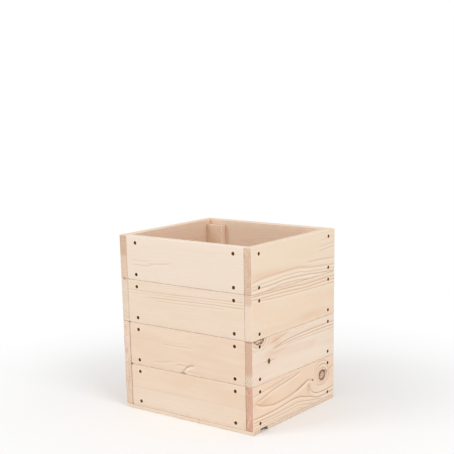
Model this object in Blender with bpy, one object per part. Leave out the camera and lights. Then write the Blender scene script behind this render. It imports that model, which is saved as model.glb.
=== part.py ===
# Wooden box planter: four courses of planed boards on each wall, screwed to an upright batten in
# each corner, over a thin floor that is nailed to the walls from below.
# Metres, +Z up. The origin is on the ground under the middle, and the front faces -Y.
import math

import bmesh
import bpy
from mathutils import Matrix

# Wall boards, all of one length
board_length = 0.314
board_height = 0.095
board_thickness = 0.018
board_edge = 0.0012  # eased long edges
courses = 4

# Gap between pieces that touch
fit = 0.0003

# Corner battens, flat against the front and back walls
batten_width = 0.045
batten_thickness = 0.016
batten_edge = 0.001
batten_drop = 0.010  # from the rim down to the batten's top

# Floor, from front to back: a slat, an open slot, then the boards
floor_thickness = 0.008
floor_edge = 0.0008
front_slat_width = 0.027
drain_slot = 0.024
floor_boards = 3
floor_joint = 0.0008

# Wall screws, two at each end of a board
screw_low = 0.012  # above the board's lower edge
screw_high = 0.0143  # below its upper edge
screw_grip = 0.0117  # how far a screw goes into the batten
screw_radius = 0.0019
screw_point = 0.0035  # length of the tapered tip
head_radius = 0.0038
head_rim = 0.0003
head_sink = 0.0004  # below the board's face

# Floor nails
nail_radius = 0.0011
nail_head_radius = 0.0023
nail_head_height = 0.0012
nail_sink = 0.0003
nail_inset = 0.015  # from a floor board's long edge
nail_spread = 0.080  # from the middle, along the front and back walls

# Facets round a screw and round a nail
screw_sides = 10
nail_sides = 6

# Sizes that follow
depth = board_length
width = board_length + 2 * (board_thickness + fit)
wall_base = floor_thickness + fit
course_pitch = board_height + fit
rim = wall_base + courses * course_pitch - fit
batten_reach = board_thickness + fit  # from a wall's outer face to the batten
screw_inset = batten_reach + batten_thickness / 2  # from a board's end to its screws
screw_length = batten_reach + screw_grip
head_taper = head_radius - screw_radius  # a right-angled countersink
through = 2 * fit  # how far a cutter stands out of what it cuts

pine = (0.74, 0.56, 0.41)
pale_pine = (0.77, 0.61, 0.46)
batten_pine = (0.70, 0.53, 0.37)
screw_steel = (0.16, 0.12, 0.09)


def clearScene():
    for item in list(bpy.data.objects):
        bpy.data.objects.remove(item)


def makeMaterial(name, colour, roughness, metallic):
    material = bpy.data.materials.new(name)
    material.use_nodes = True
    shader = material.node_tree.nodes["Principled BSDF"]
    shader.inputs["Base Color"].default_value = (*colour, 1.0)
    shader.inputs["Roughness"].default_value = roughness
    shader.inputs["Metallic"].default_value = metallic
    return material


# A plank between two corners, its long edges along X, Y or Z eased by a small round
def addPlank(shape, low, high, edge, along):
    middle = [(a + b) / 2 for a, b in zip(low, high)]
    size = [b - a for a, b in zip(low, high)]
    place = Matrix.Translation(middle) @ Matrix.Diagonal((*size, 1))
    corners = bmesh.ops.create_cube(shape, size=1, matrix=place)["verts"]
    edges = {line for corner in corners for line in corner.link_edges}
    axis = "xyz".index(along)
    runs = [line for line in edges if abs(line.verts[0].co[axis] - line.verts[1].co[axis]) > size[axis] / 2]
    bmesh.ops.bevel(shape, geom=runs, offset=edge, segments=2, profile=0.5, affect="EDGES")


# A solid turned round its own Z from points of (radius, height), closed on the axis at both ends
def addTurned(shape, profile, sides, place):
    turned = bmesh.new()
    points = [turned.verts.new((radius, 0, height)) for radius, height in profile]
    lines = [turned.edges.new(pair) for pair in zip(points, points[1:])]
    bmesh.ops.spin(turned, geom=points + lines, axis=(0, 0, 1), cent=(0, 0, 0), steps=sides, angle=2 * math.pi)
    bmesh.ops.remove_doubles(turned, verts=turned.verts, dist=1e-7)
    turned.transform(place)
    shape.from_mesh(makeMesh("turned", turned))


def makeMesh(name, shape):
    bmesh.ops.recalc_face_normals(shape, faces=shape.faces)
    mesh = bpy.data.meshes.new(name)
    shape.to_mesh(mesh)
    shape.free()
    return mesh


# The mesh of a block after cutters are taken from it and pieces are joined to it
def carveMesh(name, block, cutters, pieces):
    stock = bpy.data.objects.new(name, block)
    tools = []
    bpy.context.scene.collection.objects.link(stock)
    for operation, meshes in (("UNION", pieces), ("DIFFERENCE", cutters)):
        for mesh in meshes:
            tool = bpy.data.objects.new(name + "_tool", mesh)
            bpy.context.scene.collection.objects.link(tool)
            tools.append(tool)
            step = stock.modifiers.new(operation.lower(), "BOOLEAN")
            step.operation = operation
            step.solver = "EXACT"
            step.object = tool
    bpy.context.view_layer.update()
    carved = bpy.data.meshes.new_from_object(stock.evaluated_get(bpy.context.evaluated_depsgraph_get()))
    carved.name = name
    for item in [stock, *tools]:
        bpy.data.objects.remove(item)
    return carved


def makeObject(name, mesh, material, parent=None, location=(0, 0, 0)):
    item = bpy.data.objects.new(name, mesh)
    bpy.context.scene.collection.objects.link(item)
    if not mesh.materials:
        mesh.materials.append(material)
    item.parent = parent
    item.location = location
    return item


# Screws, countersunk: local Z runs inwards from the board's face
def screwProfile():
    seat = head_sink + head_rim
    return [
        (0, head_sink),
        (head_radius, head_sink),
        (head_radius, seat),
        (screw_radius, seat + head_taper),
        (screw_radius, screw_length - screw_point),
        (0, screw_length),
    ]


def screwHoleProfile():
    seat = head_sink + head_rim
    return [
        (0, -through),
        (head_radius + fit, -through),
        (head_radius + fit, seat),
        (screw_radius + fit, seat + head_taper),
        (screw_radius + fit, board_thickness + through),
        (0, board_thickness + through),
    ]


def pilotHoleProfile():
    return [
        (0, batten_reach - through),
        (screw_radius + fit, batten_reach - through),
        (screw_radius + fit, screw_length - screw_point),
        (0, screw_length + fit),
    ]


# Nails: local Z runs up from the ground
def nailProfile(top):
    return [
        (0, nail_sink),
        (nail_head_radius, nail_sink),
        (nail_head_radius, nail_sink + nail_head_height),
        (nail_radius, nail_sink + nail_head_height),
        (nail_radius, top),
        (0, top),
    ]


def nailHoleProfile():
    seat = nail_sink + nail_head_height
    return [
        (0, -through),
        (nail_head_radius + fit, -through),
        (nail_head_radius + fit, seat + fit),
        (nail_radius + fit, seat + fit),
        (nail_radius + fit, floor_thickness + through),
        (0, floor_thickness + through),
    ]


# Each wall has a frame of its own: X along the wall from its left end as seen from outside, Y inwards
# from its outer face, Z up from the ground
class Wall:
    def __init__(self, name, turn, face, loose_screws):
        self.name = name
        self.frame = Matrix.Rotation(math.radians(turn), 4, "Z") @ Matrix.Translation((-board_length / 2, -face, 0))
        self.loose_screws = loose_screws
        self.empty = bpy.data.objects.new(name + "_wall", None)
        bpy.context.scene.collection.objects.link(self.empty)
        self.empty.matrix_world = self.frame

    # Where a screw enters: its board's number from the bottom, the wall's end, and low or high on the board
    def screwPlaces(self, end):
        along = screw_inset if end == "left" else board_length - screw_inset
        for course in range(courses):
            base = wall_base + course * course_pitch
            yield f"{self.name}_screw_{course + 1}_{end}_low", (along, 0, base + screw_low)
            yield f"{self.name}_screw_{course + 1}_{end}_high", (along, 0, base + board_height - screw_high)


inwards = Matrix.Rotation(math.radians(-90), 4, "X")  # turns a solid's Z to a wall's Y


# The floor pieces as (name, front edge, back edge)
def floorLayout():
    front = -depth / 2
    layout = [("floor_slat_front", front, front + front_slat_width)]
    start = front + front_slat_width + drain_slot
    board_width = (depth / 2 - start - (floor_boards - 1) * floor_joint) / floor_boards
    for number in range(floor_boards):
        edge = start + number * (board_width + floor_joint)
        layout.append((f"floor_board_{number + 1}", edge, edge + board_width))
    return layout


# Where the nails go, as {wall: [(x, y), ...]}
def nailPlaces():
    side = width / 2 - board_thickness / 2
    end = depth / 2 - board_thickness / 2
    rows = [(floorLayout()[0][1] + floorLayout()[0][2]) / 2]
    for name, front, back in floorLayout()[1:]:
        rows += [front + nail_inset, back - nail_inset]
    return {
        "front": [(-nail_spread, -end), (nail_spread, -end)],
        "back": [(-nail_spread, end), (nail_spread, end)],
        "left": [(-side, row) for row in rows],
        "right": [(side, row) for row in rows],
    }


# One board with its four countersunk holes, in the wall's frame with its lower edge at Z 0
def boardMesh(name, nails=()):
    block = bmesh.new()
    addPlank(block, (0, 0, 0), (board_length, board_thickness, board_height), board_edge, "x")
    holes = bmesh.new()
    for along in (screw_inset, board_length - screw_inset):
        for up in (screw_low, board_height - screw_high):
            addTurned(holes, screwHoleProfile(), screw_sides, Matrix.Translation((along, 0, up)) @ inwards)
    pieces = []
    if nails:
        shanks = bmesh.new()
        for place in nails:
            addTurned(shanks, nailProfile(wall_base + board_thickness / 2), nail_sides, place)
        pieces.append(makeMesh(name + "_nails", shanks))
    return carveMesh(name, makeMesh(name, block), [makeMesh(name + "_holes", holes)], pieces)


def buildWall(wall, material, steel):
    plain = boardMesh(wall.name + "_board")
    to_wall = Matrix.Translation((0, 0, -wall_base)) @ wall.frame.inverted()
    nails = [to_wall @ Matrix.Translation((x, y, 0)) for x, y in nailPlaces()[wall.name]]
    for course in range(courses):
        mesh = plain if course else boardMesh(wall.name + "_board_nailed", nails)
        base = wall_base + course * course_pitch
        makeObject(f"{wall.name}_board_{course + 1}", mesh, material, wall.empty, (0, 0, base))
    if wall.loose_screws:
        turned = bmesh.new()
        addTurned(turned, screwProfile(), screw_sides, inwards)
        screw = makeMesh("screw", turned)
        for end in ("left", "right"):
            for name, place in wall.screwPlaces(end):
                makeObject(name, screw, steel, wall.empty, place)


# An upright batten where one wall's right end meets the next wall's left end. It carries the screws
# that have no node of their own, and has pilot holes for the others.
def buildBatten(first, second, material):
    lengthwise, crosswise = (first, second) if first.name in ("front", "back") else (second, first)
    side = 1 if "right" in (first.name, second.name) else -1
    way = 1 if "back" in (first.name, second.name) else -1
    outer_x = side * (width / 2 - batten_reach)
    outer_y = way * (depth / 2 - batten_reach)
    across = sorted((outer_x, outer_x - side * batten_width))
    through_wall = sorted((outer_y, outer_y - way * batten_thickness))
    low = (across[0], through_wall[0], wall_base)
    high = (across[1], through_wall[1], rim - batten_drop)
    block = bmesh.new()
    addPlank(block, low, high, batten_edge, "z")
    holes = bmesh.new()
    screws = bmesh.new()
    for wall, end in ((first, "right"), (second, "left")):
        for name, place in wall.screwPlaces(end):
            entry = wall.frame @ Matrix.Translation(place) @ inwards
            if wall.loose_screws:
                addTurned(holes, pilotHoleProfile(), screw_sides, entry)
            else:
                addTurned(screws, screwProfile(), screw_sides, entry)
    name = f"corner_batten_{lengthwise.name}_{crosswise.name}"
    cutters = [makeMesh(name + "_holes", holes)] if holes.verts else []
    pieces = [makeMesh(name + "_screws", screws)] if screws.verts else []
    makeObject(name, carveMesh(name, makeMesh(name, block), cutters, pieces), material)


def buildFloor(material):
    nails = [place for places in nailPlaces().values() for place in places]
    for name, front, back in floorLayout():
        block = bmesh.new()
        addPlank(block, (-width / 2, front, 0), (width / 2, back, floor_thickness), floor_edge, "x")
        holes = bmesh.new()
        for x, y in nails:
            if front < y < back:
                addTurned(holes, nailHoleProfile(), nail_sides, Matrix.Translation((x, y, 0)))
        mesh = carveMesh(name, makeMesh(name, block), [makeMesh(name + "_holes", holes)], [])
        makeObject(name, mesh, material)


def buildPlanter():
    clearScene()
    wall_pine = makeMaterial("wall pine", pine, 0.6, 0)
    floor_pine = makeMaterial("floor pine", pale_pine, 0.65, 0)
    inner_pine = makeMaterial("batten pine", batten_pine, 0.65, 0)
    steel = makeMaterial("screw steel", screw_steel, 0.4, 0.8)
    walls = [
        Wall("front", 0, depth / 2, True),
        Wall("right", 90, width / 2, True),
        Wall("back", 180, depth / 2, False),
        Wall("left", 270, width / 2, False),
    ]
    for wall in walls:
        buildWall(wall, wall_pine, steel)
    for first, second in zip(walls, walls[1:] + walls[:1]):
        buildBatten(first, second, inner_pine)
    buildFloor(floor_pine)


buildPlanter()
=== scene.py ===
# A box planter of planed pine: four courses of boards screwed to corner battens, slotted floor
import math
import random

import bpy
from mathutils import Matrix, Vector


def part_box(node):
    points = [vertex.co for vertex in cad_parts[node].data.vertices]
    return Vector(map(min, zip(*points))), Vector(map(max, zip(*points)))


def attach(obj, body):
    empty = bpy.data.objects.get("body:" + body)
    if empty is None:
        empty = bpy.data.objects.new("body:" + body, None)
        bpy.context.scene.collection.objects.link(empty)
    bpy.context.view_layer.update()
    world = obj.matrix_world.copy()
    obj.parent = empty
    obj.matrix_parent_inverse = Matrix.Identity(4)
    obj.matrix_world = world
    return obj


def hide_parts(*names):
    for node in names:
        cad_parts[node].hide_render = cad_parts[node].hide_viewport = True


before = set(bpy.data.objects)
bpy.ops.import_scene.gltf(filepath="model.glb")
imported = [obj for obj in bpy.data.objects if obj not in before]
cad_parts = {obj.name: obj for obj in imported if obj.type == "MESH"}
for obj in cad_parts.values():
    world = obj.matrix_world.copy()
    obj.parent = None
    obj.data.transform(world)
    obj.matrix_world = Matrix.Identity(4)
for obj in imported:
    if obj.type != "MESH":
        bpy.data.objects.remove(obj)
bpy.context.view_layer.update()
mm = 0.001
beyond = 1 * mm  # how far a cutter reaches past what it cuts
print("frame loaded:", len(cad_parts), "nodes")


# modelling helpers

def deselectAll():
    if bpy.context.object and bpy.context.object.mode != "OBJECT":
        bpy.ops.object.mode_set(mode="OBJECT")
    bpy.ops.object.select_all(action="DESELECT")


def pick(piece):
    deselectAll()
    piece.select_set(True)
    bpy.context.view_layer.objects.active = piece


def editMode(piece, selectMode="FACE"):
    pick(piece)
    bpy.ops.object.mode_set(mode="EDIT")
    bpy.ops.mesh.select_mode(type=selectMode)
    bpy.ops.mesh.select_all(action="DESELECT")


def objectMode():
    bpy.ops.object.mode_set(mode="OBJECT")


def selectFaces(piece, test):  # leaves the piece in edit mode
    editMode(piece)
    objectMode()
    for face in piece.data.polygons:
        face.select = test(face)
    bpy.ops.object.mode_set(mode="EDIT")


def applyPlace(piece):
    pick(piece)
    bpy.ops.object.transform_apply(location=True, rotation=True, scale=True)


def addModifier(piece, kind, **settings):
    modifier = piece.modifiers.new(kind.lower(), kind)
    for key, value in settings.items():
        setattr(modifier, key, value)
    pick(piece)
    bpy.ops.object.modifier_apply(modifier=modifier.name)


def addBlock(name, low, high):
    deselectAll()
    bpy.ops.mesh.primitive_cube_add(size=1, location=(low + high) / 2, scale=high - low)
    piece = bpy.context.object
    piece.name = name
    applyPlace(piece)
    return piece


def cutAcross(piece, axis, places):  # adds an edge loop at each place along one axis
    editMode(piece)
    normal = Vector((0, 0, 0))
    normal[axis] = 1
    for place in places:
        bpy.ops.mesh.select_all(action="SELECT")
        bpy.ops.mesh.bisect(plane_co=normal * place, plane_no=normal)
    objectMode()


def evenly(start, end, count):
    return [start + (end - start) * (step + 1) / (count + 1) for step in range(count)]


# a turned shape from (radius, height) steps: a filled disc, extruded and scaled step by step
def addTurned(name, steps, sides):
    deselectAll()
    radius, height = steps[0]
    bpy.ops.mesh.primitive_circle_add(vertices=sides, radius=radius, fill_type="NGON",
                                      location=(0, 0, height))
    piece = bpy.context.object
    piece.name = name
    applyPlace(piece)
    editMode(piece)
    bpy.ops.mesh.select_all(action="SELECT")
    for nextRadius, nextHeight in steps[1:]:
        rise = (0, 0, nextHeight - height)
        bpy.ops.mesh.extrude_region_move(TRANSFORM_OT_translate={"value": rise})
        scale = nextRadius / radius
        bpy.ops.transform.resize(value=(scale, scale, 1), center_override=(0, 0, nextHeight))
        radius, height = nextRadius, nextHeight
    bpy.ops.mesh.select_all(action="SELECT")
    bpy.ops.mesh.normals_make_consistent(inside=False)
    objectMode()
    return piece


def copyAt(source, name, matrix):  # a copy with its own mesh, its place in the mesh
    piece = bpy.data.objects.new(name, source.data.copy())
    piece.data.transform(matrix)
    bpy.context.scene.collection.objects.link(piece)
    return piece


def joinAll(pieces, name):
    pick(pieces[0])
    for piece in pieces:
        piece.select_set(True)
    if len(pieces) > 1:
        bpy.ops.object.join()
    pieces[0].name = name
    return pieces[0]


def cutWith(piece, cutter, operation="DIFFERENCE"):
    addModifier(piece, "BOOLEAN", operation=operation, solver="EXACT", object=cutter)
    bpy.data.objects.remove(cutter)


def smoothShade(piece, degrees):
    pick(piece)
    bpy.ops.object.shade_smooth_by_angle(angle=math.radians(degrees))


def finishPiece(piece, material, nodes=()):
    piece.data.materials.clear()
    piece.data.materials.append(material)
    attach(piece, "root")
    if nodes:
        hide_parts(*nodes)


# directions along the grain, across the face and down from the face, as seen from outside

wallDirections = {
    "front": ("+x", "+z", "+y"),
    "right": ("+y", "+z", "-x"),
    "back": ("-x", "+z", "-y"),
    "left": ("-y", "+z", "+x"),
}
battenDirections = {"front": ("+z", "+x", "+y"), "back": ("+z", "-x", "-y")}
floorDirections = ("+x", "+y", "+z")


def axisIndex(direction):
    return "xyz".index(direction[1])


def axisVector(direction):
    vector = Vector((0, 0, 0))
    vector[axisIndex(direction)] = 1 if direction[0] == "+" else -1
    return vector


# distances are from the corner that the three directions leave
def spot(low, high, directions, along, across, deep):
    place = Vector((0, 0, 0))
    for direction, distance in zip(directions, (along, across, deep)):
        index = axisIndex(direction)
        place[index] = low[index] + distance if direction[0] == "+" else high[index] - distance
    return place


# local Z points out of the face, and local X along the grain
def outwardMatrix(place, directions, turn=0.0):
    outward = -axisVector(directions[2])
    along = axisVector(directions[0])
    axes = Matrix((along, outward.cross(along), outward)).transposed().to_4x4()
    return Matrix.Translation(place) @ axes @ Matrix.Rotation(turn, 4, "Z")


# planks: squared, the arrises eased, then a little out of true and worn along the edges

plank = {
    "arris": 1.2 * mm,
    "arrisSteps": 3,
    "stepAlong": 4 * mm,
    "stepAcross": 14 * mm,
    "waveSize": 90 * mm,  # slow waves over a board's faces
    "waveDepth": 0.22 * mm,
    "dentSize": 7 * mm,  # dents along the arrises
    "dentDepth": 0.25 * mm,
    "onArris": 0.999,  # nearer to two sides than this share of the arris is on it
    "smoothAngle": 30,
}


def addClouds(name, size, contrast=1.0, intensity=1.0):
    texture = bpy.data.textures.new(name, "CLOUDS")
    texture.noise_scale = size
    texture.noise_depth = 2
    texture.contrast = contrast
    texture.intensity = intensity
    return texture


boardWaves = addClouds("boardWaves", plank["waveSize"])
arrisDents = addClouds("arrisDents", plank["dentSize"], contrast=3.2, intensity=0.55)


def addPlank(name, low, high, directions):
    arris = plank["arris"]
    piece = addBlock(name, low, high)
    editMode(piece, "EDGE")
    bpy.ops.mesh.select_all(action="SELECT")
    bpy.ops.mesh.bevel(offset=arris, segments=plank["arrisSteps"], profile=0.5, affect="EDGES")
    objectMode()
    for direction, step in zip(directions, (plank["stepAlong"], plank["stepAcross"])):
        axis = axisIndex(direction)
        start, end = low[axis] + arris, high[axis] - arris
        cutAcross(piece, axis, evenly(start, end, int((end - start) / step)))
    worn = piece.vertex_groups.new(name="arris")
    for vertex in piece.data.vertices:
        toSides = [
            min(place - least, most - place) for place, least, most in zip(vertex.co, low, high)
        ]
        if sum(distance < arris * plank["onArris"] for distance in toSides) > 1:
            worn.add([vertex.index], 1.0, "REPLACE")
    addModifier(piece, "DISPLACE", texture=boardWaves, texture_coords="LOCAL",
                mid_level=1.0, strength=plank["waveDepth"])
    addModifier(piece, "DISPLACE", texture=arrisDents, texture_coords="LOCAL",
                mid_level=0.0, strength=-plank["dentDepth"], vertex_group="arris")
    for vertex in piece.data.vertices:  # nothing stands proud of the squared size
        vertex.co = [
            min(max(place, least), most) for place, least, most in zip(vertex.co, low, high)
        ]
    return piece


# wall screws: countersunk, with a cross recess and a coarse wood thread

wallScrew = {
    "headRadius": 3.8 * mm,
    "chamfer": (0.25 * mm, 0.15 * mm),  # round the head: width, height
    "sink": 0.4 * mm,
    "rim": 0.35 * mm,
    "shankRadius": 1.9 * mm,
    "coreRadius": 1.35 * mm,
    "coreStep": 0.5 * mm,
    "tip": 0.2 * mm,
    "length": 30 * mm,
    "plainShank": 11 * mm,  # from the head's top
    "point": 3.5 * mm,
    "pitch": 1.9 * mm,
    "ridge": 0.8,  # radius of the thread, as a share of its depth
    "turnSteps": 16,
    "sides": 32,
    "recessReach": 2.3 * mm,
    "recessWidth": 1.0 * mm,
    "recessDepth": 1.9 * mm,
    "recessTaper": 0.45,
    "inset": 26.3 * mm,  # from a board's end
    "low": 12 * mm,  # from a board's lower edge
    "high": 80.7 * mm,
    "clearance": 0.3 * mm,
    "smoothAngle": 35,
}


def addThread(screw):
    ridge = (screw["shankRadius"] - screw["coreRadius"]) * screw["ridge"]
    turns = int((screw["length"] - screw["plainShank"] - screw["point"]) / screw["pitch"])
    deselectAll()
    quarter = math.radians(90)
    start = -screw["plainShank"] - turns * screw["pitch"]
    bpy.ops.mesh.primitive_circle_add(vertices=3, radius=ridge, rotation=(quarter, quarter, 0),
                                      location=(screw["shankRadius"] - ridge, 0, start))
    thread = bpy.context.object
    applyPlace(thread)
    steps = screw["turnSteps"]
    addModifier(thread, "SCREW", axis="Z", angle=math.tau, screw_offset=screw["pitch"],
                iterations=turns, steps=steps, render_steps=steps, use_merge_vertices=False)
    editMode(thread, "EDGE")
    bpy.ops.mesh.select_non_manifold()
    bpy.ops.mesh.fill()
    bpy.ops.mesh.select_all(action="SELECT")
    bpy.ops.mesh.normals_make_consistent(inside=False)
    objectMode()
    return thread


def addRecess(screw, top):
    blades = []
    half, reach = screw["recessWidth"] / 2, screw["recessReach"]
    for size in ((reach, half), (half, reach)):
        corner = Vector((size[0], size[1], 0))
        low = Vector((-corner.x, -corner.y, top - screw["recessDepth"]))
        blade = addBlock("recessBlade", low, corner + Vector((0, 0, top + beyond)))
        selectFaces(blade, lambda face: face.normal.z < -0.9)  # the bottom
        taper = screw["recessTaper"]
        bpy.ops.transform.resize(value=(taper, taper, 1), center_override=(0, 0, 0))
        objectMode()
        blades.append(blade)
    cutWith(blades[0], blades[1], "UNION")
    return blades[0]


def addScrewShape(screw):
    top = -screw["sink"]
    head, shank, core = screw["headRadius"], screw["shankRadius"], screw["coreRadius"]
    seat = top - screw["rim"]
    neck = seat - (head - shank)
    chamfer = screw["chamfer"]
    steps = [
        (head - chamfer[0], top),
        (head, top - chamfer[1]),
        (head, seat),
        (shank, neck),
        (shank, -screw["plainShank"]),
        (core, -screw["plainShank"] - screw["coreStep"]),
        (core, -screw["length"] + screw["point"]),
        (screw["tip"], -screw["length"]),
    ]
    shape = addTurned("screwShape", steps, screw["sides"])
    cutWith(shape, addThread(screw), "UNION")
    cutWith(shape, addRecess(screw, top))
    smoothShade(shape, screw["smoothAngle"])
    return shape


def screwSpots(low, high, directions):
    length = abs((high - low)[axisIndex(directions[0])])
    ends = {"left": wallScrew["inset"], "right": length - wallScrew["inset"]}
    heights = {"low": wallScrew["low"], "high": wallScrew["high"]}
    return {
        f"{end}_{height}": spot(low, high, directions, ends[end], heights[height], 0)
        for end in ends for height in heights
    }


# floor nails: flat heads on the underside, driven up into the lowest boards

floorNail = {
    "radius": 1.1 * mm,
    "headRadius": 2.3 * mm,
    "headHeight": 1.0 * mm,
    "chamfer": (0.25 * mm, 0.2 * mm),  # round the head: width, height
    "neck": 0.3 * mm,
    "sink": 0.3 * mm,
    "reach": 17 * mm,  # from the ground to the point
    "point": 2.2 * mm,
    "tip": 0.15 * mm,
    "inset": 15 * mm,  # from a floor board's long edges
    "spread": 80 * mm,  # from the middle, under the front and back walls
    "sides": 20,
    "clearance": 0.3 * mm,
    "holeTop": 10 * mm,  # of its hole in a floor board
    "smoothAngle": 35,
}


def addNailShape(nail):
    head, chamfer = nail["headRadius"], nail["chamfer"]
    headTop = nail["sink"] + nail["headHeight"]
    steps = [
        (head - chamfer[0], nail["sink"]),
        (head, nail["sink"] + chamfer[1]),
        (head, headTop),
        (nail["radius"], headTop + nail["neck"]),
        (nail["radius"], nail["reach"] - nail["point"]),
        (nail["tip"], nail["reach"]),
    ]
    shape = addTurned("nailShape", steps, nail["sides"])
    smoothShade(shape, nail["smoothAngle"])
    return shape


def nailSpots(floorBoxes):
    lowest = {wall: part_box(f"{wall}_board_1") for wall in wallDirections}
    middles = {wall: (low + high) / 2 for wall, (low, high) in lowest.items()}
    rows = []
    for name, (low, high) in floorBoxes.items():
        if name == "floor_slat_front":
            rows.append((low.y + high.y) / 2)
        else:
            rows += [low.y + floorNail["inset"], high.y - floorNail["inset"]]
    spots = [Vector((middles[wall].x, row, 0)) for wall in ("left", "right") for row in rows]
    for wall in ("front", "back"):
        spots += [Vector((side * floorNail["spread"], middles[wall].y, 0)) for side in (-1, 1)]
    return spots


# holes: one cutter for all of a piece's

def addHoles(steps, sides, matrices):
    cutters = []
    for matrix in matrices:
        cutter = addTurned("hole", steps, sides)
        cutter.data.transform(matrix)
        cutters.append(cutter)
    return joinAll(cutters, "holes")


def addScrewHoles(places, directions, reach):
    radius = wallScrew["shankRadius"] + wallScrew["clearance"]
    head = wallScrew["headRadius"] + wallScrew["clearance"]
    seat = -wallScrew["sink"] - wallScrew["rim"]
    steps = [(head, beyond), (head, seat), (radius, seat - (head - radius)), (radius, -reach)]
    matrices = [outwardMatrix(place, directions) for place in places]
    return addHoles(steps, wallScrew["sides"], matrices)


def addNailHoles(places, top):
    radius = floorNail["radius"] + floorNail["clearance"]
    head = floorNail["headRadius"] + floorNail["clearance"]
    seat = floorNail["sink"] + floorNail["headHeight"] + floorNail["clearance"]
    steps = [(head, -beyond), (head, seat), (radius, seat), (radius, top)]
    return addHoles(steps, floorNail["sides"], [Matrix.Translation(place) for place in places])


print("shapes ready")


# materials: a wire carries one value of a node tree, and sums and products on it add the nodes

class Wire:
    def __init__(self, tree, socket=None):
        self.tree = tree
        self.socket = socket

    # adds a node with its settings and its sockets' values or wires; gives the output to go on from
    def make(self, kind, settings=None, values=None, output=0):
        node = self.tree.nodes.new(kind)
        for key, value in (settings or {}).items():
            setattr(node, key, value)
        for key, value in (values or {}).items():
            if isinstance(value, Wire):
                self.tree.links.new(value.socket, node.inputs[key])
            else:
                node.inputs[key].default_value = value
        return Wire(self.tree, node.outputs[output] if node.outputs else None)

    def maths(self, operation, *values):
        return self.make("ShaderNodeMath", {"operation": operation}, dict(enumerate(values)))

    def __add__(self, other):
        return self.maths("ADD", self, other)

    def __radd__(self, other):
        return self.maths("ADD", other, self)

    def __sub__(self, other):
        return self.maths("SUBTRACT", self, other)

    def __rsub__(self, other):
        return self.maths("SUBTRACT", other, self)

    def __mul__(self, other):
        return self.maths("MULTIPLY", self, other)

    def __rmul__(self, other):
        return self.maths("MULTIPLY", other, self)

    def __truediv__(self, other):
        return self.maths("DIVIDE", self, other)

    def __rtruediv__(self, other):
        return self.maths("DIVIDE", other, self)

    def __abs__(self):
        return self.maths("ABSOLUTE", self)

    def fraction(self):
        return self.maths("FRACT", self)

    def whole(self):
        return self.maths("FLOOR", self)

    def atLeast(self, least):
        return self.maths("MAXIMUM", self, least)

    def fadeOut(self):  # 1 where the value is 0, and gone at about 2 either way
        return self.maths("EXPONENT", self * self * -1.0)

    def ramp(self, start, end):  # 0 before start, 1 past end; start may be the higher
        values = {"Value": self, "From Min": start, "From Max": end}
        return self.make("ShaderNodeMapRange", {"interpolation_type": "SMOOTHSTEP"}, values)

    def between(self, start, full, fading, end):  # 1 from full to fading, 0 outside
        return self.ramp(start, full) * self.ramp(end, fading)

    def curve(self, points):  # a smooth curve through (input, output) points
        starts, ends = zip(*points)
        left, span = starts[0], starts[-1] - starts[0]
        least, rise = min(ends), max(ends) - min(ends)
        drawn = self.make("ShaderNodeFloatCurve", {}, {"Value": (self - left) / span})
        mapping = drawn.socket.node.mapping
        mapping.use_clip = False
        mapping.extend = "HORIZONTAL"
        spots = [((start - left) / span, (end - least) / rise) for start, end in points]
        for start, end in spots[1:-1]:
            mapping.curves[0].points.new(start, end)
        mapping.curves[0].points[0].location = spots[0]
        mapping.curves[0].points[-1].location = spots[-1]
        mapping.update()
        return drawn * rise + least

    def vector(self, *parts):
        return self.make("ShaderNodeCombineXYZ", {}, dict(zip("XYZ", parts)))

    def parts(self):
        split = self.make("ShaderNodeSeparateXYZ", {}, {"Vector": self})
        return [Wire(self.tree, socket) for socket in split.socket.node.outputs]

    def direction(self):
        return self.make("ShaderNodeVectorMath", {"operation": "NORMALIZE"}, {0: self})

    def length(self):
        return self.make("ShaderNodeVectorMath", {"operation": "LENGTH"}, {0: self}, "Value")

    def noise(self, scale, detail=2.0, roughness=0.5, output=0):
        values = {"Vector": self, "Scale": scale, "Detail": detail, "Roughness": roughness}
        return self.make("ShaderNodeTexNoise", {}, values, output)

    def blend(self, factor, first, second):  # colours
        values = {0: factor, 6: first, 7: second}
        return self.make("ShaderNodeMix", {"data_type": "RGBA"}, values, 2)


def shown(red, green, blue):  # a colour as a screen shows it, 0 to 255, made linear
    def linear(level):
        level /= 255
        return level / 12.92 if level <= 0.04045 else ((level + 0.055) / 1.055) ** 2.4
    return (linear(red), linear(green), linear(blue), 1.0)


def newMaterial(name):
    material = bpy.data.materials.new(name)
    material.use_nodes = True
    material.node_tree.nodes.clear()
    return material, Wire(material.node_tree)


def outputTo(tree, shader):
    tree.make("ShaderNodeOutputMaterial", {"target": "ALL"}, {"Surface": shader})


# lengths in mm; a pair is where something starts and where it is full, four numbers are where it
# starts, is full, fades and ends, and a share is how far it covers

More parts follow.
